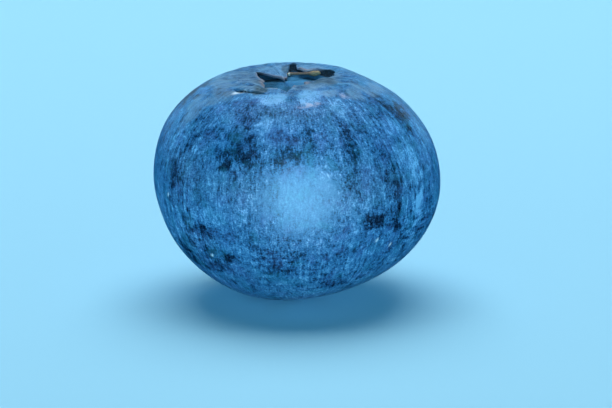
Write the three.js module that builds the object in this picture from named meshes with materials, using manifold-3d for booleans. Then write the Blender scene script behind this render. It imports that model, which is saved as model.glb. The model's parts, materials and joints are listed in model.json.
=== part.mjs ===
// One ripe blueberry, standing on its stem end with the calyx crown on top.
// Millimetres, +Z up, seen from -Y. The origin is on the surface that the berry
// rests on, below the middle of its outline.
import * as THREE from "three";
import { mergeVertices } from "three/addons/utils/BufferGeometryUtils.js";
import Module from "manifold-3d";

const wasm = await Module();
wasm.setup();

// Driving dimensions: the rest of the berry is worked out from its width.
const WIDTH = 16;
const UNIT = WIDTH / 16;
const RIM_RADIUS = 2.75 * UNIT; // top edge of the calyx rim
const CUP_DEPTH = 0.75 * UNIT; // rim down to the floor of the crown
const LOBE_THICKNESS = 0.6 * UNIT;
const SCAR_RADIUS = 1.1 * UNIT; // where the stalk came off
const REST_DEPTH = 0.25 * UNIT; // how far the underside is pressed flat
const LEAN = THREE.MathUtils.degToRad(2); // the crown tips this far towards -X

// Body: its radius from the middle is a short sum of waves in the angle from the crown.
const MEAN_RADIUS = 7.23 * UNIT;
const FLATTENING = 0.78 * UNIT; // wider than high
const HEAVY_BASE = 0.13 * UNIT; // fuller below than above
const SIDE_WAVES = [-0.07 * UNIT, -0.34 * UNIT, 0.1 * UNIT]; // how +X differs from -X

// Crown: a low rim round a shallow cup, on a shoulder that dips a little.
const SHOULDER_RADIUS = 4.8 * UNIT;
const SHOULDER_DIP = 0.1 * UNIT;
const RIM_FOOT = 3.75 * UNIT;
const RIM_RISE = 0.1 * UNIT;
const FLOOR_RADIUS = 2.1 * UNIT;
const RIM_SLANT = 0.18 * UNIT; // the rim is this much lower on one side
const SLANT_AZIMUTH = THREE.MathUtils.degToRad(205);
const NOTCHES = [9, 85, 145, 207, 279].map(THREE.MathUtils.degToRad); // gaps between the lobes
const NOTCH_DEPTH = 0.34 * UNIT;
const NOTCH_HALF_ANGLE = THREE.MathUtils.degToRad(8);
const PIT_RADIUS = 0.45 * UNIT; // scar of the style, in the middle of the floor
const PIT_DEPTH = 0.14 * UNIT;

// Stem scar: a dimple with a faint lip.
const SCAR_DEPTH = 0.5 * UNIT;
const SCAR_LIP = 0.08 * UNIT;

// Lobes: each stands on the rim and folds in over the cup. Azimuth runs anticlockwise
// from +X, rise and bend are angles from straight outwards, and drift moves the tip
// sideways. A low bluntness is a square end, and 1 is a straight-sided point.
const LOBES = [
  { azimuth: 178, halfWidth: 1.8, length: 1.75, rise: 128, bend: 58, drift: 0.55, bluntness: 0.42 },
  { azimuth: 112, halfWidth: 1.2, length: 2.7, rise: 138, bend: 52, drift: 0.3, bluntness: 0.6 },
  { azimuth: 58, halfWidth: 1.25, length: 1.4, rise: 122, bend: 55, drift: -0.1, bluntness: 0.5 },
  { azimuth: -40, halfWidth: 1.95, length: 1.55, rise: 128, bend: 52, drift: 0.0, bluntness: 0.4 },
  { azimuth: 236, halfWidth: 1.4, length: 1.05, rise: 112, bend: 55, drift: 0.2, bluntness: 0.5 },
];
const ROOT_SINK = 0.78 * UNIT; // how deep a lobe starts inside the rim
const LOBE_TAPER = 0.9; // share of the width lost by the tip

// Dried style: the withered stalk of the flower's pistil, lying in the back of the cup.
const STYLE_RADIUS = 0.13 * UNIT;
const STIGMA_RADIUS = 0.2 * UNIT;
const STYLE_ROUTE = [
  [0.12, 1.0, -0.42],
  [0.6, 1.08, -0.36],
  [1.15, 1.0, -0.31],
  [1.62, 0.86, -0.26],
]; // from the middle of the crown, at the rim's height there, for a berry 16 mm wide
const STYLE_AZIMUTH = THREE.MathUtils.degToRad(58); // the lobe that it lies in front of

// Mesh density.
const SEGMENTS = 72;
const CROWN_RINGS = 19;
const SIDE_RINGS = 24;
const SCAR_RINGS = 6;
const LOBE_STEPS = 8;
const STYLE_SIDES = 8;
const STYLE_STEPS = 10;

const { cos, sin, PI } = Math;
const smooth = (x, from, to) => {
  const t = Math.min(Math.max((x - from) / (to - from), 0), 1);
  return t * t * (3 - 2 * t);
};

// The body's radius at a polar angle from the crown and an azimuth.
function bodyRadius(polar, azimuth) {
  const upright = MEAN_RADIUS - FLATTENING * cos(2 * polar) - HEAVY_BASE * cos(3 * polar);
  const sideways = SIDE_WAVES.reduce((sum, wave, i) => sum + wave * cos((i + 1) * polar), 0);
  return upright + sin(polar) * cos(azimuth) * sideways;
}

// How far into a gap between two lobes an azimuth is, from 0 to 1.
function notchShare(azimuth) {
  const shares = NOTCHES.map((gap) => {
    const apart = Math.abs(Math.atan2(sin(azimuth - gap), cos(azimuth - gap)));
    return 1 - smooth(apart, 0, 2 * NOTCH_HALF_ANGLE);
  });
  return Math.max(...shares);
}

// How far the crown stands above the plain body, at a distance from the axis.
function crownRelief(reach, azimuth) {
  const dip = -SHOULDER_DIP * smooth(reach, SHOULDER_RADIUS, RIM_FOOT);
  const outside = RIM_RISE * smooth(reach, RIM_FOOT, RIM_RADIUS);
  const inside = -CUP_DEPTH * smooth(reach, RIM_RADIUS, FLOOR_RADIUS);
  const pit = -PIT_DEPTH * smooth(reach, PIT_RADIUS, 0);
  const onRim = smooth(reach, RIM_FOOT, RIM_RADIUS) * smooth(reach, FLOOR_RADIUS, RIM_RADIUS);
  const notch = -NOTCH_DEPTH * notchShare(azimuth) * onRim;
  const slant = -RIM_SLANT * cos(azimuth - SLANT_AZIMUTH) * (reach / RIM_RADIUS);
  return dip + outside + inside + pit + notch + slant * smooth(reach, SHOULDER_RADIUS, RIM_RADIUS);
}

// How far the stem scar stands above the plain body.
function scarRelief(reach) {
  const dimple = -SCAR_DEPTH * smooth(reach, SCAR_RADIUS, 0.4 * SCAR_RADIUS);
  const lip = SCAR_LIP * smooth(reach, 1.6 * SCAR_RADIUS, SCAR_RADIUS);
  return dimple + lip;
}

// A point of the finished surface.
function surfacePoint(polar, azimuth) {
  const radius = bodyRadius(polar, azimuth);
  const reach = radius * sin(polar);
  const height = radius * cos(polar);
  const relief = height > 0 ? crownRelief(reach, azimuth) : -scarRelief(reach);
  return new THREE.Vector3(reach * cos(azimuth), reach * sin(azimuth), height + relief);
}

// Height of the rim's top edge over the middle of the body.
function rimHeight(azimuth) {
  let polar = Math.asin(RIM_RADIUS / MEAN_RADIUS);
  for (let i = 0; i < 8; i++) polar = Math.asin(RIM_RADIUS / bodyRadius(polar, azimuth));
  return surfacePoint(polar, azimuth).z;
}

// Polar angles of the rings, from the stem scar up to the crown, closer where the relief is.
function ringAngles() {
  const crownEdge = Math.asin(SHOULDER_RADIUS / MEAN_RADIUS);
  const scarEdge = PI - Math.asin((1.7 * SCAR_RADIUS) / MEAN_RADIUS);
  const spread = (from, to, count) =>
    Array.from({ length: count }, (_, i) => from + ((to - from) * i) / count);
  return [
    ...spread(PI, scarEdge, SCAR_RINGS),
    ...spread(scarEdge, crownEdge, SIDE_RINGS),
    ...spread(crownEdge, 0, CROWN_RINGS),
    0,
  ];
}

// A closed geometry as a manifold solid: seams are merged and flat slivers at the poles dropped.
function toSolid(geometry) {
  const bare = new THREE.BufferGeometry();
  bare.setAttribute("position", geometry.getAttribute("position").clone());
  bare.setIndex(geometry.index);
  const merged = mergeVertices(bare, 1e-4);
  const kept = [];
  const index = merged.index.array;
  for (let i = 0; i < index.length; i += 3) {
    const [a, b, c] = index.subarray(i, i + 3);
    if (a !== b && b !== c && c !== a) kept.push(a, b, c);
  }
  const mesh = new wasm.Mesh({
    numProp: 3,
    vertProperties: merged.getAttribute("position").array,
    triVerts: new Uint32Array(kept),
  });
  return new wasm.Manifold(mesh);
}

// A manifold solid as a geometry.
function toGeometry(solid) {
  const mesh = solid.getMesh();
  const geometry = new THREE.BufferGeometry();
  geometry.setAttribute("position", new THREE.BufferAttribute(mesh.vertProperties, 3));
  geometry.setIndex(new THREE.BufferAttribute(mesh.triVerts, 1));
  geometry.computeVertexNormals();
  return geometry;
}

// The body is turned on a lathe, then each ring is moved out to the berry's own surface.
function body() {
  const angles = ringAngles();
  const meridian = angles.map((polar) => new THREE.Vector2(sin(polar), cos(polar)));
  const geometry = new THREE.LatheGeometry(meridian, SEGMENTS).rotateX(PI / 2);
  const position = geometry.getAttribute("position");
  for (let i = 0; i < position.count; i++) {
    const polar = angles[i % angles.length];
    const azimuth = Math.atan2(position.getY(i), position.getX(i));
    const point = surfacePoint(polar, azimuth);
    position.setXYZ(i, ...point);
  }
  return toSolid(geometry);
}

// A lobe is a thin slab, tapered to its tip and bent along an arc over the cup.
function lobe({ azimuth, halfWidth, length, rise, bend, drift, bluntness }) {
  const geometry = new THREE.BoxGeometry(2, 1, 1, LOBE_STEPS, LOBE_STEPS, 1);
  const position = geometry.getAttribute("position");
  const around = THREE.MathUtils.degToRad(azimuth);
  const first = THREE.MathUtils.degToRad(rise);
  const turn = THREE.MathUtils.degToRad(bend);
  const root = rimHeight(around) - ROOT_SINK;
  for (let i = 0; i < position.count; i++) {
    const along = position.getY(i) + 0.5;
    const side = position.getZ(i) * LOBE_THICKNESS;
    const angle = first + turn * along;
    const width = halfWidth * UNIT * (1 - LOBE_TAPER * along) ** bluntness;
    const across = position.getX(i) * width + drift * UNIT * along * along;
    const sag = (across * across) / (2 * RIM_RADIUS);
    const arc = (length * UNIT) / turn;
    const out = RIM_RADIUS - sag + arc * (sin(angle) - sin(first)) + side * sin(angle);
    const up = root + arc * (cos(first) - cos(angle)) - side * cos(angle);
    position.setXYZ(
      i,
      out * cos(around) - across * sin(around),
      out * sin(around) + across * cos(around),
      up,
    );
  }
  return toSolid(geometry);
}

// The dried style is a bent thread with its stigma as a small knob.
function driedStyle() {
  const base = rimHeight(STYLE_AZIMUTH);
  const points = STYLE_ROUTE.map(
    ([x, y, z]) => new THREE.Vector3(x * UNIT, y * UNIT, base + z * UNIT),
  );
  const path = new THREE.CatmullRomCurve3(points);
  const circle = new THREE.Path().absarc(0, 0, STYLE_RADIUS, 0, 2 * PI);
  const section = new THREE.Shape(circle.getPoints(STYLE_SIDES));
  const thread = new THREE.ExtrudeGeometry(section, { steps: STYLE_STEPS, extrudePath: path });
  const knob = new THREE.SphereGeometry(STIGMA_RADIUS, STYLE_SIDES + 2, STYLE_SIDES - 2);
  knob.translate(...points.at(-1));
  return toSolid(thread).add(toSolid(knob));
}

// The same lean for everything that grew together.
const leaned = (solid) => solid.rotate([0, THREE.MathUtils.radToDeg(-LEAN), 0]);

const grown = leaned(LOBES.reduce((berry, each) => berry.add(lobe(each)), body()));
const style = leaned(driedStyle());

// Stand it on its underside: cut the flat spot and bring the middle over the origin.
const box = grown.boundingBox();
const floor = box.min[2] + REST_DEPTH;
const below = new THREE.BoxGeometry(WIDTH, WIDTH, WIDTH).translate(0, 0, floor - WIDTH / 2);
const offset = [-(box.min[0] + box.max[0]) / 2, -(box.min[1] + box.max[1]) / 2, -floor];
const berry = grown.subtract(toSolid(below)).translate(offset);

const SKIN = new THREE.MeshStandardMaterial({ color: 0x3a74b0, roughness: 0.6, metalness: 0 });
const DRY = new THREE.MeshStandardMaterial({ color: 0x8a6a3c, roughness: 0.8, metalness: 0 });

function piece(name, solid, material) {
  const mesh = new THREE.Mesh(toGeometry(solid), material);
  mesh.name = name;
  return mesh;
}

const blueberry = new THREE.Group();
blueberry.add(piece("berry", berry, SKIN));
blueberry.add(piece("dried_style", style.translate(offset), DRY));

export default blueberry;
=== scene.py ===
# %% [markdown]
# # A blueberry, dressed
# One ripe blueberry stands on its stem end with the calyx crown on top. Its solids are already made at
# their real size, so this lesson keeps their size and place and makes the surface: a finer skin with
# thin folded lobes, the dried thread in the crown, and the waxy bloom that gives the fruit its look.

# %% Load the solids
import json
import math

import bpy
import numpy as np
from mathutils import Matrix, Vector

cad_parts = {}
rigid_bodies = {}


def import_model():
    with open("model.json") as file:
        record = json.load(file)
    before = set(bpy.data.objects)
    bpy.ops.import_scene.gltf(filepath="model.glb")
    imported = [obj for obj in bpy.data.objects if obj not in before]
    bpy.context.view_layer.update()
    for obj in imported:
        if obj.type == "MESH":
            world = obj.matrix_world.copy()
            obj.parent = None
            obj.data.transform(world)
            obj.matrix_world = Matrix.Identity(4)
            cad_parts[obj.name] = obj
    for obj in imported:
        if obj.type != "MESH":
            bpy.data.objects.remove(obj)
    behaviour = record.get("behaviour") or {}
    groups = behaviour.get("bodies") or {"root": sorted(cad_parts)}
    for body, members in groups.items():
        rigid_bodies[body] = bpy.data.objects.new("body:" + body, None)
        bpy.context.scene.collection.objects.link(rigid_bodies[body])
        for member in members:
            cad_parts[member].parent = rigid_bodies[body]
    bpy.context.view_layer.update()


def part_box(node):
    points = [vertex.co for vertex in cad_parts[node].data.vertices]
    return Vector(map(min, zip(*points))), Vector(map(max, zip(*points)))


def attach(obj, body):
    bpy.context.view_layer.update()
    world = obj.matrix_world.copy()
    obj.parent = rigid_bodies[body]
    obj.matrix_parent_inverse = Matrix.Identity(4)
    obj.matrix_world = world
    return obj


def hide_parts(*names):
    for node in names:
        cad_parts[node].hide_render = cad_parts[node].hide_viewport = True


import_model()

# %% [markdown]
# ## One scale for everything
# The shapes below are written in millimetres of a berry 16 mm wide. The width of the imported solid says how
# long such a millimetre is here, so a berry of another size would bring its finish along.

# %% The berry's own millimetre
SOLID_WIDTH = 16.06
berry_low, berry_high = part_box("berry")
MM = (berry_high.x - berry_low.x) / SOLID_WIDTH
print("one millimetre of the berry is", round(MM, 7), "m")

# %% [markdown]
# ## The plump body
# A blueberry is a flattened ball, fuller below than above, and never quite round. A sphere that is scaled
# would look turned on a lathe. A short sum of waves in the angle from the crown gives the flattening,
# the heavy base and the uneven sides with a handful of numbers that can be read off an outline.

# %% The radius of the body in every direction
MEAN_RADIUS = 7.23
FLATTENING = 0.78
HEAVY_BASE = 0.13
SIDE_WAVES = (-0.07, -0.34, 0.1)


def smooth(x, start, stop):
    """0 at start and 1 at stop, eased at both ends."""
    share = np.clip((x - start) / (stop - start), 0, 1)
    return share * share * (3 - 2 * share)


def body_radius(polar, azimuth):
    """Distance from the middle at an angle from the crown and an azimuth."""
    upright = MEAN_RADIUS - FLATTENING * np.cos(2 * polar) - HEAVY_BASE * np.cos(3 * polar)
    sideways = sum(wave * np.cos((i + 1) * polar) for i, wave in enumerate(SIDE_WAVES))
    return upright + np.sin(polar) * np.cos(azimuth) * sideways


def short(number):
    """A number as it is printed."""
    return round(float(number), 2)


print("height of the plain body:", short(body_radius(0, 0) + body_radius(math.pi, 0)), "mm")


# %% [markdown]
# ## Uneven skin
# Real skin has faint swells and dents. A sum of sine waves in random directions, drawn from a fixed seed,
# makes a smooth field without any texture file, and its spacing is a length in millimetres.

# %% A seeded field of swells
def swells(points, spacing, seed, count=48):
    """A smooth random field of about -1 to 1, with swells about `spacing` mm apart."""
    draw = np.random.default_rng(seed)
    ways = draw.normal(size=(count, 3))
    ways /= np.linalg.norm(ways, axis=1, keepdims=True)
    pace = 2 * math.pi / spacing * draw.uniform(0.6, 1.5, count)
    shift = draw.uniform(0, 2 * math.pi, count)
    flat = points.reshape(-1, 3)
    field = np.sin(flat @ (ways * pace[:, None]).T + shift).sum(axis=1) * math.sqrt(2 / count)
    return 0.5 * field.reshape(points.shape[:-1])


probe = swells(np.linspace((0, 0, 0), (20, 0, 0), 200), 4.5, seed=2)
print("swells along a line of 20 mm:", short(probe.min()), "to", short(probe.max()))

# %% [markdown]
# ## The calyx lobes
# The crown is what is left of the flower: five lobes round a shallow cup. On this berry they have folded
# in over the cup, each in its own way. The outside of the berry runs over the rim and becomes the top of a
# lobe, so the lobes are not separate leaves set on a ring. Each is a stretch of the rim that reaches in.

# %% Where each lobe reaches
# Start, peak and end azimuth, reach, bend, droop at those three, and bluntness of both sides
LOBES = {
    "left": ((136, 198, 237), 1.3, 3.2, (0.0, -0.22, -0.5), (2.4, 2.0)),
    "back_left": ((88, 108, 139), 2.1, 2, (-0.26, -0.26, -0.06), (9, 2.3)),
    "back_right": ((42, 60, 80), 0.85, 2, (0.0, 0.0, 0.0), (2, 2)),
    "front_right": ((-90, -50, 13), 1.75, 2, (-0.1, -0.24, -0.24), (3, 4)),
    "front_left": ((234, 252, 270), 0.7, 2, (-0.05, 0.0, -0.1), (2, 2.5)),
}
LOBE_ROUNDING = 0.65
DROOP_ROUNDING = 0.3
print("lobes:", ", ".join(LOBES))


# %% What a lobe is at each azimuth
def from_azimuth(turned, centre):
    """Degrees from a central azimuth, from -180 to 180."""
    return (turned - centre + 180) % 360 - 180


def lobe_fields(azimuth):
    """Share, reach, droop and bend of the lobe at each azimuth. Share and reach are 0 between lobes."""
    turned = np.degrees(azimuth)
    share, reach, droop = (np.zeros_like(turned) for _ in range(3))
    bend = np.full_like(turned, 2.0)
    for (start, peak, stop), longest, curve, (first, middle, last), blunt in LOBES.values():
        away = from_azimuth(turned, peak)
        before = np.clip(away / (start - peak), 0, 1)
        after = np.clip(away / (stop - peak), 0, 1)
        side = np.where(away < 0, before ** blunt[0], after ** blunt[1])
        shape = (1 - side) ** LOBE_ROUNDING
        fall = middle + (first - middle) * before + (last - middle) * after
        longer = longest * shape > reach
        share = np.where(longer, shape, share)
        reach = np.where(longer, longest * shape, reach)
        droop = np.where(longer, fall * shape ** DROOP_ROUNDING, droop)
        bend = np.where(longer, curve, bend)
    return share, reach, droop, bend


SEGMENTS = 400
around = np.linspace(0, 2 * math.pi, SEGMENTS, endpoint=False)
share, reach, droop, bend = lobe_fields(around)
print("lobes take up", round(100 * float((share > 0).mean())), "% of the rim")

# %% [markdown]
# ## One skin from the stem scar to the floor of the crown
# Body, rim, lobes and cup could be modelled apart and joined by a Boolean, but a join leaves ragged edges
# just where the eye goes. Here the whole fruit is one grid of rings: up the outside, over the rim, in along
# the lobes, round their thin edge, back under them, down the wall of the cup and across its floor.

# %% Rim, gaps and ragged lobe edges
RIM_RADIUS = 2.75
EDGE_RAGGED = 0.12
LEAST_REACH = 0.03
# Azimuth and half width in degrees, depth of the notch and how much wider the rim is
GAPS = [(84, 9, -0.02, 0.1), (33, 16, 0.04, 0.4), (18, 30, 0.1, 0.0), (269, 12, 0.08, 0.0)]

circle = np.stack([3 * np.cos(around), 3 * np.sin(around), 0 * around], axis=1)
reach = np.maximum(reach * (1 + EDGE_RAGGED * swells(circle, 1.1, seed=4)), LEAST_REACH)
gap_depth = np.zeros(SEGMENTS)
rim_radius = np.full(SEGMENTS, RIM_RADIUS)
for azimuth, half, depth, widening in GAPS:
    inside = 1 - smooth(np.abs(from_azimuth(np.degrees(around), azimuth)), 0, half)
    gap_depth += depth * inside
    rim_radius += widening * inside
print("widest gap reaches", short(rim_radius.max()), "mm from the axis")

# %% Heights along the outside
SHOULDER_RADIUS = 4.8
SHOULDER_SWELL = 0.08
RIM_SLANT = 0.1
SLANT_AZIMUTH = math.radians(205)
RIM_DIP = 0.11
NOTCH_WIDTH = 0.9
SCAR_RADIUS = 1.1
SCAR_DEPTH = 0.5
SCAR_LIP = 0.08
FLOOR_DEPTH = 0.56


def outside_relief(distance):
    """How far the outside stands above the plain body near the crown."""
    slant = -RIM_SLANT * np.cos(around - SLANT_AZIMUTH) * distance / RIM_RADIUS
    notch = -gap_depth * smooth(distance, RIM_RADIUS + NOTCH_WIDTH, rim_radius)
    swell = SHOULDER_SWELL * smooth(distance, 7.2, 5.2) * smooth(distance, 2.9, 4.2)
    dip = -RIM_DIP * smooth(distance, 3.9, RIM_RADIUS)
    return slant * smooth(distance, SHOULDER_RADIUS, RIM_RADIUS) + notch + swell + dip


def scar_relief(distance):
    """How far the stem scar is sunk below the plain body."""
    dimple = -SCAR_DEPTH * smooth(distance, SCAR_RADIUS, 0.4 * SCAR_RADIUS)
    return dimple + SCAR_LIP * smooth(distance, 1.6 * SCAR_RADIUS, SCAR_RADIUS)


rim_polar = np.arcsin(rim_radius / MEAN_RADIUS)
for _ in range(8):
    rim_polar = np.arcsin(rim_radius / body_radius(rim_polar, around))
rim_height = body_radius(rim_polar, around) * np.cos(rim_polar) + outside_relief(rim_radius)
floor_height = float(rim_height[share > 0.5].mean()) - FLOOR_DEPTH
print("rim at", short(rim_height.mean()), "mm over the middle, floor at", round(floor_height, 2))

# %% Rings up the outside
RINGS = {"outside": 168, "top": 24, "edge": 6, "underside": 13, "wall": 10, "floor": 22}
RING_CROWDING = 0.06


def ring_row(distance, height, part, along):
    """One ring: its points, the part of the berry it belongs to and how far along that part it is."""
    distance = np.broadcast_to(distance, around.shape)
    height = np.broadcast_to(height, around.shape)
    points = np.stack([distance * np.cos(around), distance * np.sin(around), height], axis=1)
    return points, part, along


rows = []
for step in range(1, RINGS["outside"] + 1):
    even = step / RINGS["outside"]
    climb = even - RING_CROWDING * math.sin(2 * math.pi * even)
    polar = math.pi - climb * (math.pi - rim_polar)
    radius = body_radius(polar, around)
    distance = radius * np.sin(polar)
    relief = np.where(np.cos(polar) > 0, outside_relief(distance), -scar_relief(distance))
    rows.append(ring_row(distance, radius * np.cos(polar) + relief, "outside", climb))
print("rings up the outside:", len(rows))

# %% Rings over and under the lobes
RIM_SLOPE = 0.04
LOBE_ROOT_THICKNESS = 0.3
LOBE_EDGE_THICKNESS = 0.13
WALL_INSET = 0.24


def lobe_top(along):
    """Height of the top of the lobes, from the rim at 0 to the edge at 1."""
    start = RIM_SLOPE * reach
    return rim_height + start * along + (droop - start) * along ** bend


for step in range(1, RINGS["top"] + 1):
    along = step / RINGS["top"]
    rows.append(ring_row(rim_radius - reach * along, lobe_top(along), "top", along))

tip_distance = rim_radius - reach
half_edge = LOBE_EDGE_THICKNESS / 2
for step in range(1, RINGS["edge"]):
    turn = math.pi * step / RINGS["edge"]
    inward = half_edge * math.sin(turn)
    drop = half_edge * (1 - math.cos(turn))
    rows.append(ring_row(tip_distance - inward, lobe_top(1) - drop, "edge", 1))

wall_distance = rim_radius - WALL_INSET
for step in range(RINGS["underside"] + 1):
    along = 1 - step / RINGS["underside"]
    distance = wall_distance + (tip_distance - wall_distance) * along
    thickness = LOBE_ROOT_THICKNESS + (LOBE_EDGE_THICKNESS - LOBE_ROOT_THICKNESS) * along
    rows.append(ring_row(distance, lobe_top(along) - thickness, "underside", along))
print("longest lobe reaches to", short(tip_distance.min()), "mm from the axis")

# %% Rings of the cup
FLOOR_RADIUS = 2.15
FLOOR_DOME = 0.16
STYLE_RING_HEIGHT = 0.05
STYLE_PIT_DEPTH = 0.16

wall_top = rim_height - LOBE_ROOT_THICKNESS
for step in range(1, RINGS["wall"] + 1):
    down = step / RINGS["wall"]
    inward = wall_distance + (FLOOR_RADIUS - wall_distance) * down
    rows.append(ring_row(inward, wall_top + (floor_height - wall_top) * smooth(down, 0, 1), "wall", down))

for step in range(1, RINGS["floor"]):
    inward = 1 - step / RINGS["floor"]
    dome = FLOOR_DOME * (1 - inward * inward)
    ring = STYLE_RING_HEIGHT * math.exp(-(((inward - 0.24) / 0.06) ** 2))
    pit = -STYLE_PIT_DEPTH * float(smooth(inward, 0.2, 0.05))
    rows.append(ring_row(FLOOR_RADIUS * inward, floor_height + dome + ring + pit, "floor", 1 - inward))

points = np.array([row[0] for row in rows])
parts = np.array([row[1] for row in rows])
along_part = np.array([float(row[2]) for row in rows])
is_part = {name: (parts == name)[:, None] for name in RINGS}
print("rings:", len(rows), "points:", points.shape[0] * points.shape[1])

# %% [markdown]
# ## The slit along the left lobe
# The front edge of the left lobe lies on the shoulder, and a dark slit runs along it. A cut would need its
# own edge in the grid. A groove with the lobe's edge lifted behind it looks the same, so the points near a
# drawn course are pushed in, and those just behind it are raised.

# %% Slit and lifted edge
# Azimuth, distance from the axis and depth along the course
SLIT = [
    (215, 3.5, 0.2), (219, 3.44, 0.5), (225, 3.38, 0.48),
    (231, 3.34, 0.32), (240, 3.34, 0.22), (247, 3.3, 0.12),
]
SLIT_HALF_WIDTH = (0.05, 0.28)
EDGE_LIFT = 0.12
EDGE_LIFT_WIDTH = 0.3
EDGE_LIFT_START = 0.14


def slit_field(grid):
    """Depth of the slit and lift of the lobe's edge behind it, by the distance from its course."""
    turned = [math.radians(a) for a, _, _ in SLIT]
    course = np.array([(r * math.cos(a), r * math.sin(a), d) for a, (_, r, d) in zip(turned, SLIT)])
    depth = np.zeros(grid.shape[:-1])
    lift = np.zeros(grid.shape[:-1])
    for first, second in zip(course[:-1], course[1:]):
        way = second[:2] - first[:2]
        length = np.linalg.norm(way)
        from_first = grid[..., :2] - first[:2]
        along = np.clip(from_first @ way / length ** 2, 0, 1)
        away = np.linalg.norm(from_first - along[..., None] * way, axis=-1)
        behind = (way[0] * from_first[..., 1] - way[1] * from_first[..., 0]) / length
        here = first[2] + along * (second[2] - first[2])
        half = SLIT_HALF_WIDTH[0] + SLIT_HALF_WIDTH[1] * here
        depth = np.maximum(depth, here * np.exp(-((away / half) ** 2)))
        raised = smooth(behind, 0, EDGE_LIFT_START) * smooth(here, 0.1, 0.3)
        lift = np.maximum(lift, EDGE_LIFT * raised * np.exp(-((away / EDGE_LIFT_WIDTH) ** 2)))
    return depth, lift


above = points[..., 2] > 0
open_part = is_part["outside"] | is_part["top"]
slit, lift = (np.where(open_part & above, field, 0) for field in slit_field(points))
print("slit:", short(slit.max()), "mm deep, edge lifted by", short(lift.max()), "mm")

# %% [markdown]
# ## Small swells and creases
# The grid so far is too clean. The skin gets long shallow swells, and the crown, which is dry, gets shorter
# and sharper ones. Creases run from the crown down the shoulder, where the skin is drawn in to the rim.

# %% Move the points a little
BODY_SWELL = 0.035
CROWN_SWELL = 0.05
CREASE_DEPTH = 0.035
CREASES_ON_LOBES = 0.6
FLOOR_SHARE = 0.4


def crease_field(grid):
    """Fine creases that run along the meridians, strongest at the rim."""
    azimuth = np.arctan2(grid[..., 1], grid[..., 0])
    turning = np.stack([6 * np.cos(azimuth), 6 * np.sin(azimuth), 0.12 * grid[..., 2]], axis=-1)
    return swells(turning, 0.9, seed=11)


on_crown = ~is_part["outside"]
distance = np.hypot(points[..., 0], points[..., 1])
near_crown = np.where(above, smooth(distance, 4.6, 2.9), 0)
near_crown = np.where(on_crown, np.where(is_part["floor"], FLOOR_SHARE, 1), near_crown)
outwards = points / np.linalg.norm(points, axis=-1, keepdims=True)
shift = BODY_SWELL * swells(points, 4.5, seed=2) * (1 - near_crown)
shift += CROWN_SWELL * swells(points, 0.8, seed=3) * near_crown
shift += CREASE_DEPTH * crease_field(points) * np.where(on_crown, CREASES_ON_LOBES, near_crown)
points = points + outwards * (shift + lift - slit)[..., None]
print("largest swell or crease:", round(float(np.abs(shift).max()), 3), "mm")

# %% [markdown]
# ## Into the part's frame
# The rings were laid about the fruit's own axis. The berry leans a little and rests on a pressed spot, so
# the points are leaned, brought over the origin and flattened where they would go below the surface.

# %% Lean, place and flatten
LEAN = math.radians(2)
REST_DEPTH = 0.25


def leaned(grid):
    """Tip the crown towards -X."""
    x, y, z = grid[..., 0], grid[..., 1], grid[..., 2]
    cos, sin = math.cos(LEAN), math.sin(LEAN)
    return np.stack([x * cos - z * sin, y, x * sin + z * cos], axis=-1)


tipped = leaned(points)
low, high = tipped.reshape(-1, 3).min(axis=0), tipped.reshape(-1, 3).max(axis=0)
OFFSET = np.array([-(low[0] + high[0]) / 2, -(low[1] + high[1]) / 2, -(low[2] + REST_DEPTH)])


def placed(grid):
    """From the fruit's own axis, in mm, to the part's frame, in metres."""
    return (leaned(grid) + OFFSET) * MM


skin_points = placed(points)
skin_points[..., 2] = np.maximum(skin_points[..., 2], 0)
print("height over the surface:", round(float(skin_points[..., 2].max()) / MM, 2), "mm")


# %% Make the skin's mesh
def closed_grid(name, grid, first, last):
    """A closed mesh from rings of points, with a point at each end."""
    count, width = grid.shape[:2]
    vertices = np.concatenate([first[None], grid.reshape(-1, 3), last[None]])
    index = 1 + np.arange(count * width).reshape(count, width)
    ahead = np.roll(index, -1, axis=1)
    quads = np.stack([index[:-1], ahead[:-1], ahead[1:], index[1:]], axis=-1).reshape(-1, 4)
    ends = [(0, int(b), int(a)) for a, b in zip(index[0], ahead[0])]
    ends += [(int(a), int(b), len(vertices) - 1) for a, b in zip(index[-1], ahead[-1])]
    mesh = bpy.data.meshes.new(name)
    mesh.from_pydata(vertices.tolist(), [], quads.tolist() + ends)
    mesh.shade_smooth()
    piece = bpy.data.objects.new(name, mesh)
    bpy.context.scene.collection.objects.link(piece)
    return piece


scar_middle = np.array([0, 0, -float(body_radius(math.pi, 0)) + SCAR_DEPTH - SCAR_LIP])
floor_middle = np.array([0, 0, float(points[-1, :, 2].mean())])
berry_skin = closed_grid("berry_skin", skin_points, placed(scar_middle), placed(floor_middle))
print("skin:", len(berry_skin.data.polygons), "faces")

# %% [markdown]
# ## Where the bloom is rubbed
# Bloom is a film of pale wax that hides the dark skin. It is missing where the berry was touched, and thick
# where nothing reached it. Noise alone would put the dark places anywhere, so the marks of the seen side
# are placed one by one. Those of the far side are drawn from a seed, so that it is as lively.

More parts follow.
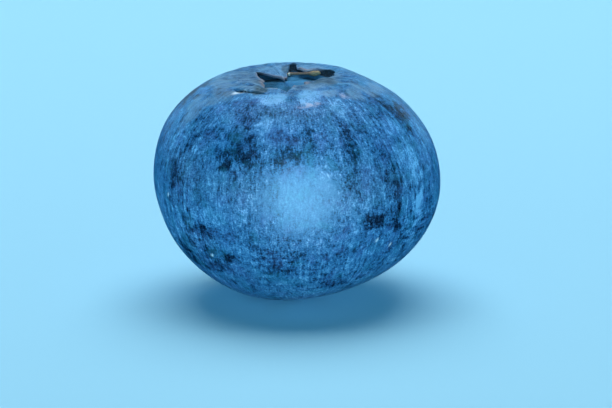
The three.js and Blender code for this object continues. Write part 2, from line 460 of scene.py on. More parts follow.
# %% Marks of the seen side
# Azimuth and latitude, half width and half height in mm, turn, and how much wax is gone
MARKS = {
    "mottled patch": [
        (-112, 28, 1.4, 1.5, 0, 0.5), (-115, 23, 0.7, 0.7, 0, 0.2), (-118, 22, 0.6, 0.6, 0, 0.35),
        (-113, 39, 0.6, 0.6, 0, 0.2), (-130, 33, 0.6, 0.5, 0, 0.35), (-119, 12, 0.7, 0.8, 0, 0.25),
    ],
    "under the crown": [
        (-120, 50, 1.6, 0.4, -6, 0.15), (-141, 54, 0.6, 0.4, 0, 0.5), (-101, 46, 1.3, 0.3, 0, 0.3),
        (-91, 34.5, 1.4, 0.6, 0, 0.45),
    ],
    "round the highlight": [
        (-91, 23, 0.9, 1.0, 0, 0.35), (-83, 25, 0.9, 0.6, 0, 0.35), (-66, 15, 0.6, 1.1, 0, 0.35),
        (-100, -19, 1.0, 0.5, 0, 0.3),
    ],
    "streak": [(-60, 28, 0.4, 1.5, 0, 0.5)],
    "long band, from its top": [
        (-51, 38, 0.45, 1.0, 0, 0.4), (-47, 24.5, 0.4, 0.7, 16, 0.15), (-44.5, 17.5, 0.4, 0.9, 16, 0.42),
        (-46.3, 9, 0.7, 1.2, 6, 0.55), (-47.5, -3.5, 0.6, 0.9, 0, 0.32), (-43.5, -5, 0.5, 0.7, -15, 0.4),
    ],
    "oval and beside it": [
        (-56, -5.2, 0.82, 0.62, 35, 0.95), (-53, -14, 0.7, 0.6, 0, 0.3), (-73, -4, 0.7, 0.6, 0, 0.2),
    ],
    "left side": [
        (178, 44, 1.1, 1.2, 0, 0.75), (-142, 33, 0.6, 0.9, 0, 0.3), (-147, 15, 0.7, 0.9, 0, 0.5),
        (-138, -4, 0.6, 0.7, 0, 0.3), (-128, -9, 1.4, 0.5, -12, 0.5), (-107, -9, 0.6, 0.5, 0, 0.25),
    ],
    "base": [
        (-124, -20, 1.5, 0.7, -15, 0.4), (-121, -21, 0.24, 0.6, 0, 0.7), (-140, -28, 1.8, 0.9, -15, 0.5),
        (-99, -25, 0.9, 0.5, 0, 0.45), (-86, -21, 0.6, 0.5, 0, 0.2), (-37, -13, 0.9, 1.2, 10, 0.5),
        (-72, -37, 1.2, 0.6, 0, 0.35),
    ],
    # Dark right shoulder: rubbed wax and painted shade along the edge
    "right shoulder": [
        (-17, 33, 1.1, 0.9, 20, 0.7), (-20, 40, 0.8, 0.9, 0, 0.45), (-31, 23, 0.4, 0.5, 0, 0.45),
        (-36, 38, 0.7, 0.5, 0, 0.25),
    ],
    "pale by the crown": [
        (-104, 38, 0.75, 0.6, 0, -0.5), (-122, 38, 0.5, 0.5, 0, -0.3), (-100, 55.5, 0.85, 0.9, 0, -0.6),
        (-94, 55, 0.4, 0.6, 0, -0.4), (-68, 57, 0.95, 0.85, 0, -0.7), (-57, 47, 0.7, 1.2, 0, -0.5),
    ],
    "pale in the middle": [
        (-77, 16, 0.7, 0.8, 0, -0.2), (-53, 20, 0.5, 0.8, 0, -0.3), (-37, 18, 0.5, 0.8, 0, -0.4),
        (-59, 4, 0.7, 0.6, 0, -0.25), (-66, -11, 0.8, 0.8, 0, -0.35),
    ],
    "pale right side": [
        (-32, 28.5, 0.9, 0.6, 0, -0.4), (-31, 9, 0.6, 1.5, 0, -0.65), (-31, -3, 0.6, 0.9, 0, -0.5),
    ],
    "pale left side": [
        (-147, -6, 0.6, 1.2, 0, -0.4), (-127, -2, 1.0, 0.6, 0, -0.35), (-112, -16, 0.6, 0.5, 0, -0.2),
        (-110, -24, 0.5, 0.6, 0, -0.3),
    ],
}
print("marks of the seen side:", {name: len(marks) for name, marks in MARKS.items()})

# %% Marks of the far side
FAR_MARKS = 20
draw = np.random.default_rng(21)
MARKS["far side"] = []
for _ in range(FAR_MARKS):
    at = (draw.uniform(5, 175), draw.uniform(-45, 45))
    half = (draw.uniform(0.3, 1.6), draw.uniform(0.5, 2.0))
    turn = draw.uniform(-25, 25)
    MARKS["far side"].append((*at, *half, turn, draw.choice([0.7, 0.5, 0.5, -0.3])))
print("marks in all:", sum(len(marks) for marks in MARKS.values()))


# %% How a mark is painted
def mark_field(grid, azimuth, latitude, half_width, half_height, turn, warp):
    """1 inside an oval mark on the skin and 0 outside, with a warped edge."""
    azimuth, polar, turn = math.radians(azimuth), math.radians(90 - latitude), math.radians(turn)
    level = math.sin(polar)
    facing = np.array([level * math.cos(azimuth), level * math.sin(azimuth), math.cos(polar)])
    east = np.array([-math.sin(azimuth), math.cos(azimuth), 0])
    north = np.cross(facing, east)
    away = grid - facing * float(body_radius(polar, azimuth))
    u, v = away @ east, away @ north
    across, up = u * math.cos(turn) + v * math.sin(turn), v * math.cos(turn) - u * math.sin(turn)
    size = np.hypot(across / half_width, up / half_height) + warp
    return np.where(grid @ facing > 0, 1 - smooth(size, 0.45, 1.25), 0)


warp = 0.45 * swells(points, 1.3, seed=8) + 0.2 * swells(points, 0.5, seed=9)


def painted(marks, ragged):
    """Sum of marks, each times its strength. Ragged says how much of the warp their edges take."""
    total = np.zeros(points.shape[:2])
    for *shape, strength in marks:
        total += strength * mark_field(points, *shape, ragged * warp)
    return total


rub = sum(painted(marks, 1.0) for marks in MARKS.values())
print("rubbed bare:", round(100 * float((rub > 0.5).mean()), 1), "% of the points")

# %% [markdown]
# ## Finer colour on the skin
# The wax is even round the highlight and above it. A furrow between the front lobes has little wax. Under
# the crown the skin has healed pink in two places, the shoulders are dusty with a painted grey sheen, and a
# few specks lie on it. One function paints them all, so each list only says where they are.

# %% Even wax, furrow, healed, dusty and sheen, and pale places
EVEN = (-86, 8, 2.4, 2.4, 0, 1.0)
EVEN_ABOVE = (-97, 36, 1.7, 1.0, 0, 0.3)
RUSSET = [(-74, 49.6, 0.9, 0.22, 4, 1), (-43, 52.4, 0.4, 0.35, 0, 1)]
# Dust and painted sheen: left shoulder and rim, then the right shoulder up to the crown
DUST_AND_SHEEN_PLACES = [
    (-157, 41, 0.8, 1.3, 0, 1), (-148, 52, 1.0, 0.8, 0, 1), (-170, 57, 1.2, 0.8, 0, 1),
    (165, 62, 1.2, 0.9, 0, 1), (-8, 48, 1.4, 0.5, 0, 1), (-28, 52, 1.0, 0.7, 0, 1),
    (-52, 56, 0.8, 0.45, 0, 1),
]
# Two strands of lint and four specks
PALE = [
    (-137.5, 58.2, 0.24, 0.45, 0, 1), (-134, 57.6, 0.3, 0.08, 0, 1), (-152.3, 2.9, 0.1, 0.14, 0, 1),
    (-53.3, -13.3, 0.1, 0.1, 0, 1), (-45, -17.6, 0.1, 0.1, 0, 1), (-129.8, -20.6, 0.1, 0.1, 0, 1),
]
FURROW_RUB = 0.4
turned = np.degrees(np.arctan2(points[..., 1], points[..., 0]))


def beside(centre, half, power=2):
    """1 at an azimuth and 0 away from it. A higher power makes it flatter, with steeper sides."""
    return np.exp(-((from_azimuth(turned, centre) / half) ** power))


even = np.maximum(painted([EVEN], 0.5), painted([EVEN_ABOVE], 0.5))
furrow = beside(-86, 4) * np.where(above, smooth(distance, 4.8, 3.4), 0)
rub = np.clip(rub + FURROW_RUB * furrow, -1.0, 1.1)
russet = np.where(on_crown, 0, np.clip(painted(RUSSET, 0.5), 0, 1))
# Grey on the shoulders: dust and a painted sheen
dust_and_sheen = np.where(on_crown, 0, np.clip(painted(DUST_AND_SHEEN_PLACES, 1.0), 0, 1))
pale = np.clip(painted(PALE, 0.3), 0, 1)
print("dusty:", round(100 * float((dust_and_sheen > 0.5).mean()), 1), "% of the points")

# %% Where streaks and scratches show
SIDE_STREAKS = ((-40, 24), (-150, 22))
sides = sum(beside(azimuth, half) for azimuth, half in SIDE_STREAKS)
streaky = np.clip(0.3 + 0.5 * swells(points, 7.0, seed=31) + 0.7 * sides, 0, 1)
latitude = np.degrees(np.arctan2(points[..., 2], distance))
low_band = np.exp(-(((latitude + 18) / 14) ** 2))
scratched = np.clip(low_band * (0.5 + 0.8 * swells(points, 5.0, seed=33)), 0, 1)
print("mean of streaks and scratches:", short(streaky.mean()), short(scratched.mean()))

# %% [markdown]
# ## Colour of the crown
# The lobes are dry and greyer than the skin, brown along their edges. Undersides, slit, the gaps between
# lobes and the top of the wall get a near-black painted shade, and the floor of the cup is a clear blue with
# painted shade at the left and in front. Which part a ring belongs to is known from its making, so no mask
# has to be painted by hand.

# %% Painted shade, dry and blue places
# A painted shadow in the gap at the back of the rim
BACK_GAP_SHADE = (86, 65, 0.4, 0.4, 0, 0.85)
# Painted shade on the cup's floor, at the left and in front
CUP_SHADE = 0.6
ones = np.ones(points.shape[:2])
wall_down = along_part[:, None]
# Near-black painted shade under the lobes, at the top of the wall, in the slit and between the lobes
papery_and_shade = np.where(is_part["wall"], 1 - 0.9 * smooth(wall_down, 0.0, 0.4), ones * is_part["underside"])
cup_front = beside(-92, 26) * smooth(distance, 0.2, 0.8)
cup_left = smooth(-points[..., 0], 0.0, 0.9)
cup_shade = CUP_SHADE * np.maximum(cup_left, cup_front) * is_part["floor"]
papery_and_shade = np.maximum(np.maximum(papery_and_shade, cup_shade), smooth(slit, 0.12, 0.25))
papery_and_shade = np.where(is_part["edge"], 1 - smooth(share, 0.2, 0.6), papery_and_shade)
papery_and_shade = np.maximum(papery_and_shade, painted([BACK_GAP_SHADE], 0.3))
dry_edge = np.where(is_part["top"], smooth(along_part, 0.8, 1.0)[:, None] * share, 0)
dry_edge = np.where(is_part["edge"], share, dry_edge)
cup = np.where(is_part["wall"], smooth(wall_down, 0.05, 0.4), ones * is_part["floor"])
print("dark points:", int((papery_and_shade > 0.5).sum()), "dry points:", int((dry_edge > 0.5).sum()))

# %% Grey lobes and painted shade on them
BLUE_FOLD = (-155, 66.4, 0.6, 0.32, 0, 1)
# Painted shade at the tip and inner edge of the left lobe, on the front right lobe, and at an edge at the
# back
LOBE_SHADES = [(-121, 62.5, 0.5, 0.7, 0, 1.2), (-130, 68, 0.4, 0.6, 0, 0.8), (-165, 74.5, 0.45, 0.5, 0, 0.7)]
RAGGED_LOBE_SHADE = (-24, 69, 0.8, 0.6, 0, 0.7)
SHARP_LOBE_SHADE = (94, 72, 0.22, 0.8, 0, 0.8)
LOBE_EDGE = 3.0
LEFT_FOLD_EDGE = 0.45
LOBE_WAX = 0.6

back_lobes = np.clip(beside(112, 30, 4) + 0.8 * beside(61, 17, 4), 0, 1)
lobe_edge = LOBE_EDGE + LEFT_FOLD_EDGE * beside(-132, 20, 4)
calyx = np.where(above, 1 - smooth(distance, lobe_edge - 0.35, lobe_edge + 0.25), 0)
calyx = np.where(open_part, calyx * (1 - 0.8 * furrow), 0)
calyx = calyx * (1 - 0.75 * beside(-106, 16, 4))
calyx = calyx * (1 - 0.8 * painted([BLUE_FOLD], 0.5)) * (1 - 0.4 * back_lobes)
# Dark grey painted shade on the lobes
lobe_shade = painted(LOBE_SHADES, 0.5) + painted([RAGGED_LOBE_SHADE], 1.0) + painted([SHARP_LOBE_SHADE], 0.3)
lobe_shade = np.where(open_part, np.clip(lobe_shade, 0, 1), 0)
rub = np.where(is_part["top"], rub - LOBE_WAX * back_lobes, rub)
print("grey points of the lobes:", int((calyx > 0.5).sum()))


# %% Store it all on the points
def store(piece, name, values, ends=(0.0, 0.0)):
    """A number on every point, with one for each end point."""
    full = np.concatenate([[ends[0]], values.reshape(-1), [ends[1]]]).astype(np.float32)
    piece.data.attributes.new(name, "FLOAT", "POINT").data.foreach_set("value", full)


def store_vectors(piece, name, values):
    """A direction on every point. The end points take their neighbours' mean."""
    first, last = values[0].mean(axis=0)[None], values[-1].mean(axis=0)[None]
    full = np.concatenate([first, values.reshape(-1, 3), last])
    layer = piece.data.attributes.new(name, "FLOAT_VECTOR", "POINT")
    layer.data.foreach_set("vector", full.astype(np.float32).reshape(-1))


stem_scar = np.where(above, 0, 1 - smooth(distance, 0.8, 1.15))
skin_fields = {
    "rub": rub, "even": even, "russet": russet, "pale": pale, "dust_and_sheen": dust_and_sheen, "streaky": streaky,
    "scratched": scratched, "calyx": calyx, "lobe_shade": lobe_shade, "papery_and_shade": papery_and_shade, "dry_edge": dry_edge,
}
for name, field in skin_fields.items():
    store(berry_skin, name, field)
store(berry_skin, "cup", cup, (0.0, 1.0))
store(berry_skin, "stem_scar", stem_scar, (1.0, 0.0))
azimuth = np.radians(turned)
climb = np.arctan2(np.hypot(points[..., 0], points[..., 1]), points[..., 2])
meridian = MEAN_RADIUS * np.stack([np.cos(azimuth), np.sin(azimuth), climb], axis=-1)
store_vectors(berry_skin, "meridian", meridian)
print("stored:", [a.name for a in berry_skin.data.attributes if not a.is_internal])

# %% [markdown]
# ## The dried style
# The style was the flower's pistil. It withers to a tan thread with a knob, the stigma, and here it lies in
# the back of the cup. A curve with a bevel would be an even wire. Rings along a smooth path can thin, swell
# and wrinkle, and end in a blunt knob.

# %% The thread's route
# Points from the foot to the knob, in mm from the axis and over the rim
STYLE_ROUTE = np.array([
    [-0.32, 1.35, -0.46],
    [0.05, 1.3, -0.17],
    [0.6, 1.36, -0.17],
    [1.15, 1.45, -0.2],
    [1.86, 1.6, -0.24],
])
STYLE_AZIMUTH = math.radians(58)


def along_route(route, share):
    """A point on the smooth curve through the route's points."""
    ends = np.concatenate([2 * route[:1] - route[1:2], route, 2 * route[-1:] - route[-2:-1]])
    spot = share * (len(route) - 1)
    i = min(int(spot), len(route) - 2)
    t = spot - i
    a, b, c, d = ends[i:i + 4]
    square, cube = 2 * a - 5 * b + 4 * c - d, 3 * b - a - 3 * c + d
    return 0.5 * (2 * b + (c - a) * t + square * t * t + cube * t ** 3)


route = STYLE_ROUTE + np.array([0, 0, float(np.interp(STYLE_AZIMUTH, around, rim_height))])
route_length = np.linalg.norm(np.diff(route, axis=0), axis=1).sum()
print("thread is about", round(float(route_length), 1), "mm long")

# %% Rings of the thread and the knob
STYLE_RADIUS = 0.11
STIGMA_RADIUS = 0.2
STYLE_FLATNESS = 0.85
STYLE_RINGS = 90
STYLE_SIDES = 28
KNOB = (0.74, 0.86)
BLUNT_START = 0.84

turns = np.linspace(0, 2 * math.pi, STYLE_SIDES, endpoint=False)
thread_shares = np.arange(1, STYLE_RINGS) / STYLE_RINGS
style_rings = []
for along in thread_shares:
    ahead = along_route(route, min(along + 0.01, 1)) - along_route(route, max(along - 0.01, 0))
    ahead = ahead / np.linalg.norm(ahead)
    side = np.cross(np.array([0, 0, 1.0]), ahead)
    side = side / np.linalg.norm(side)
    over = np.cross(ahead, side)
    thin = STYLE_RADIUS * (0.85 + 0.15 * math.cos(5 * along)) * min(1, (along / 0.05) ** 0.5)
    club = (STIGMA_RADIUS - STYLE_RADIUS) * float(smooth(along, *KNOB))
    blunt_end = math.sqrt(1 - max(0, (along - BLUNT_START) / (1 - BLUNT_START)) ** 2)
    ring = np.cos(turns)[:, None] * side + STYLE_FLATNESS * np.sin(turns)[:, None] * over
    style_rings.append(along_route(route, along) + (thin + club) * blunt_end * ring)
style_points = np.array(style_rings)
print("thread rings:", len(style_rings))

# %% Wrinkles, mesh and what the thread's material needs
THREAD_WRINKLE = 0.09
KNOB_WRINKLE = 0.16
PALE_SPOT = (0.27, 0.02)

on_knob = smooth(thread_shares, *KNOB)[:, None]
wrinkle = THREAD_WRINKLE * swells(style_points * np.array([0.6, 1, 1]), 0.12, seed=14)
wrinkle = wrinkle + KNOB_WRINKLE * on_knob * swells(style_points, 0.3, seed=15)
centres = style_points.mean(axis=1, keepdims=True)
style_points = centres + (style_points - centres) * (1 + wrinkle[..., None])
foot, tip = (placed(along_route(route, end)) for end in (0.0, 1.0))
style_thread = closed_grid("style_thread", placed(style_points), foot, tip)
pale_spot = np.exp(-(((thread_shares - PALE_SPOT[0]) / PALE_SPOT[1]) ** 2))[:, None]
store(style_thread, "knob", np.repeat(on_knob, STYLE_SIDES, 1))
store(style_thread, "pale_end", np.repeat(pale_spot, STYLE_SIDES, 1))
print("thread:", len(style_thread.data.polygons), "faces")


# %% [markdown]
# ## Shared effects
# Skin and thread both need speckle and long streaks. Copies of the nodes in each material would drift apart,
# so a node group holds each effect once, with named inputs, and every material gives it its own scale.

# %% Small helpers for node trees
def add(tree, kind, **values):
    """A new node. A value is a property of the node or, failing that, the default of an input."""
    made = tree.nodes.new("ShaderNode" + kind)
    for name, value in values.items():
        if hasattr(made, name):
            setattr(made, name, value)
        else:
            made.inputs[name.replace("_", " ")].default_value = value
    return made


def feed(tree, socket, value):
    """Link a socket to another, or set it to a number or a colour."""
    if isinstance(value, (int, float)):
        socket.default_value = value
    elif isinstance(value, tuple):
        socket.default_value = (*value, 1)
    else:
        tree.links.new(value, socket)


def calc(tree, operation, first, second=0.0):
    """A math node over two sockets or numbers."""
    made = add(tree, "Math", operation=operation)
    for socket, value in zip(made.inputs, (first, second)):
        feed(tree, socket, value)
    return made.outputs[0]


def weighed(tree, base, *terms):
    """A number plus each socket times its weight."""
    total = base
    for socket, weight in terms:
        made = add(tree, "Math", operation="MULTIPLY_ADD")
        for place, value in zip(made.inputs, (socket, weight, total)):
            feed(tree, place, value)
        total = made.outputs[0]
    return total


print("helpers for numbers are ready")


# %% Helpers for colours and stored fields
def eased(tree, value, low, high):
    """0 below low, 1 above high, eased between."""
    made = add(tree, "MapRange", interpolation_type="SMOOTHSTEP", From_Min=low, From_Max=high)
    tree.links.new(value, made.inputs["Value"])
    return made.outputs["Result"]


def tinted(tree, share, first, second):
    """From the first colour to the second by a share. A colour is a socket or three numbers."""
    made = add(tree, "Mix", data_type="RGBA")
    for i, value in ((0, share), (6, first), (7, second)):
        feed(tree, made.inputs[i], value)
    return made.outputs[2]


def toned(tree, value, stops):
    """A colour from a value by stops of place and colour."""
    made = add(tree, "ValToRGB")
    elements = made.color_ramp.elements
    while len(elements) < len(stops):
        elements.new(0.5)
    for element, (place, colour) in zip(elements, stops):
        element.position = place
        element.color = (*colour, 1)
    tree.links.new(value, made.inputs[0])
    return made.outputs[0]


def stored(tree, name, output="Fac"):
    """What a point attribute holds."""
    return add(tree, "Attribute", attribute_name=name).outputs[output]


def covered(tree, colour, name, share, tone):
    """The colour with a tone over it, as far as a stored field times a share says."""
    return tinted(tree, calc(tree, "MULTIPLY", stored(tree, name), share), colour, tone)


print("helpers for colours are ready")


# %% Speckle and streaks
def effect(name, inputs):
    """An empty node group with a vector, named numbers and one value out."""
    group = bpy.data.node_groups.new(name, "ShaderNodeTree")
    group.interface.new_socket("Vector", in_out="INPUT", socket_type="NodeSocketVector")
    for label, value in inputs.items():
        socket = group.interface.new_socket(label, in_out="INPUT", socket_type="NodeSocketFloat")
        socket.default_value = value
    group.interface.new_socket("Value", in_out="OUTPUT", socket_type="NodeSocketFloat")
    return group, group.nodes.new("NodeGroupInput"), group.nodes.new("NodeGroupOutput")


def spread_out(group, noise, given, result):
    """Stretch a noise about its middle and hand it out as the group's value."""
    span = add(group, "MapRange")
    group.links.new(noise.outputs[0], span.inputs["Value"])
    for side, end in (("SUBTRACT", "From Min"), ("ADD", "From Max")):
        group.links.new(calc(group, side, 0.5, given.outputs["Spread"]), span.inputs[end])
    group.links.new(span.outputs["Result"], result.inputs["Value"])


speckle, given, result = effect("speckle", {"Scale": 1.0, "Detail": 3.0, "Roughness": 0.6, "Spread": 0.2})
noise = add(speckle, "TexNoise")
for name in ("Vector", "Scale", "Detail", "Roughness"):
    speckle.links.new(given.outputs[name], noise.inputs[name])
spread_out(speckle, noise, given, result)

streaks, given, result = effect("streaks", {"Scale": 1.0, "Length": 8.0, "Spread": 0.2})
split = add(streaks, "SeparateXYZ")
drawn = add(streaks, "CombineXYZ")
noise = add(streaks, "TexNoise", Detail=3.0, Roughness=0.55)
streaks.links.new(given.outputs["Vector"], split.inputs[0])
shortened = calc(streaks, "DIVIDE", split.outputs[2], given.outputs["Length"])
for socket, value in zip(drawn.inputs, (split.outputs[0], split.outputs[1], shortened)):
    streaks.links.new(value, socket)
streaks.links.new(drawn.outputs[0], noise.inputs["Vector"])
streaks.links.new(given.outputs["Scale"], noise.inputs["Scale"])
spread_out(streaks, noise, given, result)
print("effects:", speckle.name, "and", streaks.name)


# %% Placing an effect in a material
def use(tree, group, vector, **values):
    """A group's value, with its vector linked and its inputs set."""
    made = tree.nodes.new("ShaderNodeGroup")
    made.node_tree = group
    tree.links.new(vector, made.inputs["Vector"])
    for name, value in values.items():
        made.inputs[name].default_value = value
    return made.outputs["Value"]


def in_millimetres(tree):
    """The place on the piece, in the berry's millimetres."""
    place = add(tree, "TexCoord").outputs["Object"]
    scale = add(tree, "VectorMath", operation="SCALE", Scale=1 / MM)
    tree.links.new(place, scale.inputs[0])
    return scale.outputs[0]


def material(name):
    """An empty node material with its shader."""
    made = bpy.data.materials.new(name)
    made.use_nodes = True
    return made, made.node_tree, made.node_tree.nodes["Principled BSDF"]


skin_material, tree, shader = material("bloomed_skin")
print("started:", skin_material.name)

# %% [markdown]
# ## Bloomed skin
# Under the wax the skin is a dark navy, a little glossy. The wax is pale blue and broken up into clumps of
# half a millimetre, pepper of a tenth, dashes, long streaks and flat scratches. One noise would look like
# felt. Their weighed sum, less what the marks rub off, says how much wax covers the skin.

# %% Grain of the wax
GRAIN = {"mottle": 0.25, "clump": 0.68, "pepper": 0.56, "dashes": 0.42, "band": 0.15}
STREAK_WEIGHT = 0.4
SCRATCH_WEIGHT = 0.5

place = in_millimetres(tree)
meridians = stored(tree, "meridian", "Vector")
mottle = use(tree, speckle, place, Scale=0.6, Detail=3.0, Spread=0.2)
clump = use(tree, speckle, place, Scale=2.6, Detail=5.0, Roughness=0.72, Spread=0.28)
pepper = use(tree, speckle, place, Scale=11.0, Detail=3.0, Spread=0.2)
dashes = use(tree, streaks, meridians, Scale=8.0, Length=2.4, Spread=0.2)
streak = use(tree, streaks, meridians, Scale=4.5, Length=14.0, Spread=0.22)
band = use(tree, streaks, meridians, Scale=0.9, Length=4.0, Spread=0.22)
flattened = add(tree, "VectorMath", operation="MULTIPLY")
flattened.inputs[1].default_value = (0.5, 0.5, 5.0)
tree.links.new(place, flattened.inputs[0])
scratch = use(tree, speckle, flattened.outputs[0], Scale=1.1, Detail=3.0, Spread=0.22)
drawn_streak = calc(tree, "MULTIPLY", calc(tree, "SUBTRACT", streak, 0.5), stored(tree, "streaky"))
drawn_scratch = calc(tree, "MULTIPLY", calc(tree, "SUBTRACT", scratch, 0.5), stored(tree, "scratched"))
grain_terms = list(zip((mottle, clump, pepper, dashes, band), GRAIN.values()))
grain_terms += [(drawn_streak, STREAK_WEIGHT), (drawn_scratch, SCRATCH_WEIGHT)]
grain = weighed(tree, -sum(GRAIN.values()) / 2, *grain_terms)
print("grain of the wax:", len(grain_terms), "scales")

# %% Wax over dark skin
WAX_TONES = [
    (0.0, (0.0005, 0.009, 0.028)),
    (0.19, (0.0015, 0.032, 0.09)),
    (0.38, (0.007, 0.088, 0.235)),
    (0.56, (0.022, 0.15, 0.35)),
    (0.75, (0.048, 0.21, 0.44)),
    (1.0, (0.14, 0.37, 0.66)),
]
VIOLET_WAX = (0.075, 0.16, 0.46)
TEAL_WAX = (0.01, 0.19, 0.33)
DUST_AND_SHEEN_GREY = (0.15, 0.26, 0.38)
MEAN_WAX = 0.545
RUBBED_OFF = 0.6

rubbed = stored(tree, "rub")
bare = calc(tree, "MAXIMUM", rubbed, 0.0)
contrast = weighed(tree, 1.0, (bare, 0.2), (stored(tree, "scratched"), 0.3), (stored(tree, "even"), -0.6))
wax = weighed(tree, MEAN_WAX, (calc(tree, "MULTIPLY", grain, contrast), 1.0), (rubbed, -RUBBED_OFF))
colour = toned(tree, wax, WAX_TONES)
hue = use(tree, speckle, place, Scale=0.9, Detail=2.0, Spread=0.2)
violet = calc(tree, "MULTIPLY", eased(tree, hue, 0.55, 1.0), weighed(tree, 0.22, (bare, -0.2)))
colour = tinted(tree, violet, colour, VIOLET_WAX)
colour = tinted(tree, calc(tree, "MULTIPLY", eased(tree, hue, 0.45, 0.0), 0.3), colour, TEAL_WAX)
# Dust and painted sheen grey the shoulders, streaked
sheen_and_dust_share = weighed(tree, 0.05, (streak, 0.5), (clump, 0.3))
colour = covered(tree, colour, "dust_and_sheen", sheen_and_dust_share, DUST_AND_SHEEN_GREY)
print("wax tones:", len(WAX_TONES))

# %% Lobes, healed skin and lint
CALYX_TONES = [
    (0.0, (0.016, 0.06, 0.13)),
    (0.5, (0.068, 0.165, 0.3)),
    (1.0, (0.17, 0.29, 0.45)),
]
LOBE_SHADE_TONE = (0.025, 0.04, 0.045)
RUSSET_TONE = (0.42, 0.34, 0.44)
PALE_TONE = (0.62, 0.68, 0.8)

calyx_grain = weighed(tree, -1.0, (streak, 0.9), (clump, 0.9), (pepper, 0.6), (mottle, 0.6))
calyx_tone = toned(tree, calyx_grain, CALYX_TONES)
colour = covered(tree, colour, "calyx", weighed(tree, 0.62, (clump, 0.4)), calyx_tone)
# Painted shade on the lobes
colour = covered(tree, colour, "lobe_shade", 0.75, LOBE_SHADE_TONE)
colour = covered(tree, colour, "russet", eased(tree, clump, 0.3, 1.0), RUSSET_TONE)
colour = tinted(tree, stored(tree, "pale"), colour, PALE_TONE)
print("lobe tones:", len(CALYX_TONES))

# %% Cup, painted shade, dry edges and stem scar
CUP_TONE = (0.018, 0.2, 0.41)
PAPERY_AND_SHADE_TONE = (0.002, 0.01, 0.022)
DRY_EDGE_TONE = (0.26, 0.2, 0.22)
SCAR_TONE = (0.13, 0.1, 0.07)

colour = covered(tree, colour, "cup", weighed(tree, 0.45, (clump, 0.5)), CUP_TONE)
# Near-black painted shade in the hollows, broken by pepper
colour = covered(tree, colour, "papery_and_shade", weighed(tree, 0.5, (pepper, 0.9)), PAPERY_AND_SHADE_TONE)
colour = covered(tree, colour, "dry_edge", 0.8, DRY_EDGE_TONE)
colour = tinted(tree, stored(tree, "stem_scar"), colour, SCAR_TONE)
tree.links.new(colour, shader.inputs["Base Color"])
print("skin colour is linked")

# %% Gloss and relief of the skin
SKIN_ROUGHNESS = 0.3
SKIN_IOR = 1.45
SKIN_SPECULAR = 1.0
WAX_RELIEF = 0.02

rough_terms = ((wax, 0.1), (stored(tree, "papery_and_shade"), 0.5), (stored(tree, "cup"), 0.4))
tree.links.new(weighed(tree, SKIN_ROUGHNESS, *rough_terms), shader.inputs["Roughness"])
bump = add(tree, "Bump", Strength=0.25, Distance=WAX_RELIEF * MM)
tree.links.new(wax, bump.inputs["Height"])
tree.links.new(bump.outputs[0], shader.inputs["Normal"])
shader.inputs["IOR"].default_value = SKIN_IOR
shader.inputs["Specular IOR Level"].default_value = SKIN_SPECULAR
print("skin material:", len(tree.nodes), "nodes")

# %% [markdown]
# ## Dry thread
# The style is dry plant fibre: tan, darker in its wrinkles, with a paler knob. One brown would look like
# clay, so the same speckle and streaks as on the skin break it up, at a smaller scale.

# %% Thread material
TAN = (0.22, 0.13, 0.085)
BROWN = (0.06, 0.028, 0.018)
KNOB_TONE = (0.36, 0.25, 0.13)
PALE_END = (0.7, 0.66, 0.58)
THREAD_ROUGHNESS = 0.6
THREAD_RELIEF = 0.02

thread_material, tree, shader = material("dry_thread")
place = in_millimetres(tree)
fibre = use(tree, streaks, place, Scale=9.0, Length=1.0, Spread=0.2)
fleck = use(tree, speckle, place, Scale=14.0, Detail=3.0, Spread=0.2)
colour = tinted(tree, calc(tree, "MULTIPLY", fibre, fleck), TAN, BROWN)
colour = covered(tree, colour, "knob", 0.7, KNOB_TONE)
colour = tinted(tree, stored(tree, "pale_end"), colour, PALE_END)
tree.links.new(colour, shader.inputs["Base Color"])
shader.inputs["Roughness"].default_value = THREAD_ROUGHNESS
bump = add(tree, "Bump", Strength=0.4, Distance=THREAD_RELIEF * MM)
tree.links.new(fleck, bump.inputs["Height"])
tree.links.new(bump.outputs[0], shader.inputs["Normal"])
print("thread material:", len(tree.nodes), "nodes")

# %% Dress the pieces
for piece, finish, node, slot in (
    (berry_skin, skin_material, "berry", "bloomed_skin"),
    (style_thread, thread_material, "dried_style", "dry_thread"),
):
    piece.data.materials.append(finish)
    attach(piece, "root")
    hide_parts(node)
print("dressed:", berry_skin.name, "and", style_thread.name)

# %% [markdown]
# ## Floor
# The berry stands on a plain pale floor without gloss. The floor takes the berry's shadow, but throws no
# light back on it, so the berry's tones depend on the lights alone.

# %% Make the floor
FLOOR_TONE = (0.32, 0.57, 0.72)
FLOOR_HALF = 0.8

floor_mesh = bpy.data.meshes.new("floor")
corners = [(x * FLOOR_HALF, y * FLOOR_HALF, 0) for x, y in ((-1, -1), (1, -1), (1, 1), (-1, 1))]
floor_mesh.from_pydata(corners, [], [(0, 1, 2, 3)])
floor = bpy.data.objects.new("floor", floor_mesh)
bpy.context.scene.collection.objects.link(floor)
floor_material, tree, shader = material("pale_floor")
shader.inputs["Base Color"].default_value = (*FLOOR_TONE, 1)
shader.inputs["Roughness"].default_value = 1.0
shader.inputs["Specular IOR Level"].default_value = 0.0
floor_mesh.materials.append(floor_material)
floor.visible_shadow = False
floor.visible_diffuse = False
floor.visible_glossy = False
print("floor is", 2 * FLOOR_HALF, "m wide")

# %% [markdown]
# ## Light
# Soft, cool studio light: pale surroundings, a large light over the back, and two lights behind that show
# only as a grey-blue sheen on the shoulders. The one soft highlight in the berry's middle has two lights of
# its own. A single strong light could make it, but its gloss and its glow on the wax differ in size and
# tint. So a broad light low in front shows only as gloss, and a small round one only lights the wax.

# %% Pale surroundings
BELOW = (0.076, 0.14, 0.155)
LEVEL = (0.32, 0.8, 1.0)
ABOVE = (0.0, 0.0, 0.0)
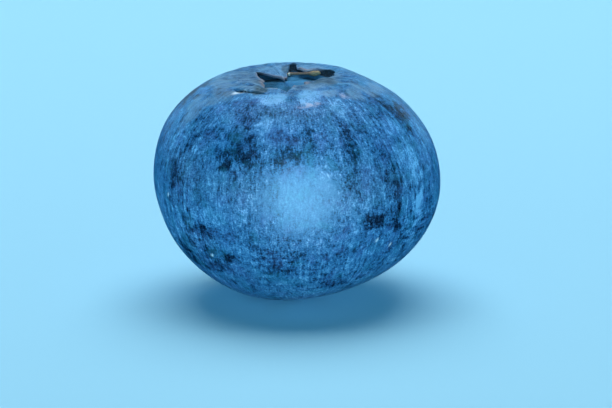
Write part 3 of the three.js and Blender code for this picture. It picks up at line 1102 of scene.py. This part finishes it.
# Place from straight down, 0, to straight up, 1, and colour
SURROUND = [(0.0, BELOW), (0.42, BELOW), (0.5, LEVEL), (0.54, LEVEL), (0.72, ABOVE), (1.0, ABOVE)]
SURROUND_STRENGTH = 4.4

world = bpy.data.worlds.new("surround")
world.use_nodes = True
sky = world.node_tree
height = add(sky, "SeparateXYZ")
sky.links.new(add(sky, "TexCoord").outputs["Generated"], height.inputs[0])
climb = weighed(sky, 0.5, (height.outputs["Z"], 0.5))
sky.links.new(toned(sky, climb, SURROUND), sky.nodes["Background"].inputs["Color"])
sky.nodes["Background"].inputs["Strength"].default_value = SURROUND_STRENGTH
world.cycles_visibility.glossy = False
bpy.context.scene.world = world
bpy.context.scene.view_settings.view_transform = "Standard"
print("surround:", len(SURROUND), "tones")

# %% Soft lights
middle = Vector(placed(np.zeros(3)))


def aimed(name, data, location, back):
    """An object at a place, with its back to a direction."""
    made = bpy.data.objects.new(name, data)
    made.location = location
    made.rotation_mode = "QUATERNION"
    made.rotation_quaternion = (-back).to_track_quat("-Z", "Y")
    bpy.context.scene.collection.objects.link(made)
    return made


def soft_light(name, azimuth, elevation, distance, size, power, tone, gloss):
    """An area light at an angle round the berry's middle, facing it. It shows as gloss or lights only."""
    a, e = math.radians(azimuth), math.radians(elevation)
    back = Vector((math.sin(a) * math.cos(e), -math.cos(a) * math.cos(e), math.sin(e)))
    data = bpy.data.lights.new(name, "AREA")
    data.size = size
    data.energy = power
    data.color = tone
    lamp = aimed(name, data, middle + back * distance, back)
    lamp.visible_camera = False
    lamp.visible_glossy = gloss
    lamp.visible_diffuse = not gloss
    return lamp


soft_light("over_back", 180, 66, 0.5, 0.5, 3.75, (0.85, 0.96, 1.0), gloss=False)
soft_light("back_sheen", 180, 66, 0.5, 0.5, 2.08, (0.3, 0.6, 1.0), gloss=True)
low_back = soft_light("back_low", 180, 12, 0.6, 0.9, 0.5, (0.45, 0.8, 1.0), gloss=True)
low_back.data.shape = "RECTANGLE"
low_back.data.size_y = 0.3
low_glow = soft_light("low_glow", 3, 2, 0.16, 0.15, 0.46, (0.27, 0.67, 1.0), gloss=True)
low_glow.data.shape = "ELLIPSE"
low_glow.data.size_y = 0.26
low_glow.data.cycles.use_multiple_importance_sampling = False

# %% Small round light
ROUND_POWER = 7.6
ROUND_TONE = (1.0, 0.46, 0.33)
ROUND_ANGLE = math.radians(1.45)
ROUND_SIZE = 0.002
ROUND_BEHIND = 0.14
ROUND_SHIFT = (0.1, 0, 1.2)

round_data = bpy.data.lights.new("round_light", "SPOT")
round_data.energy = ROUND_POWER
round_data.color = ROUND_TONE
round_data.spot_size = ROUND_ANGLE
round_data.spot_blend = 1.0
round_data.shadow_soft_size = ROUND_SIZE
backwards = (low_glow.location - middle).normalized()
round_place = low_glow.location + backwards * ROUND_BEHIND + Vector(ROUND_SHIFT) * MM
round_light = aimed("round_light", round_data, round_place, backwards)
round_light.visible_glossy = False
print("round light is", round((round_light.location - middle).length, 3), "m from the berry's middle")

# %% [markdown]
# ## Camera
# A long lens keeps the berry nearly free of perspective. The camera could be moved by eye until the picture
# fits. Here its place is worked out from where the origin falls, and how many pixels a millimetre takes.

# %% Place the camera
VIEW_ELEVATION = math.radians(15)
PICTURE_WIDTH = 612
PICTURE_CENTRE = (306, 204)
ORIGIN_PIXEL = (297.0, 292.2)
PIXELS_PER_MM = 17.81
LENS = 600
SENSOR = 36

right = Vector((1, 0, 0))
up = Vector((0, math.sin(VIEW_ELEVATION), math.cos(VIEW_ELEVATION)))
back = Vector((0, -math.cos(VIEW_ELEVATION), math.sin(VIEW_ELEVATION)))
pixel = MM / PIXELS_PER_MM
target = right * (PICTURE_CENTRE[0] - ORIGIN_PIXEL[0]) * pixel
target += up * (ORIGIN_PIXEL[1] - PICTURE_CENTRE[1]) * pixel
camera_data = bpy.data.cameras.new("camera")
camera_data.lens = LENS
camera_data.sensor_width = SENSOR
camera_data.clip_start = 0.005
camera = aimed("camera", camera_data, target + back * (PICTURE_WIDTH * pixel * LENS / SENSOR), back)
bpy.context.scene.camera = camera
print("camera is", round(1000 * (camera.location - target).length, 1), "mm away")
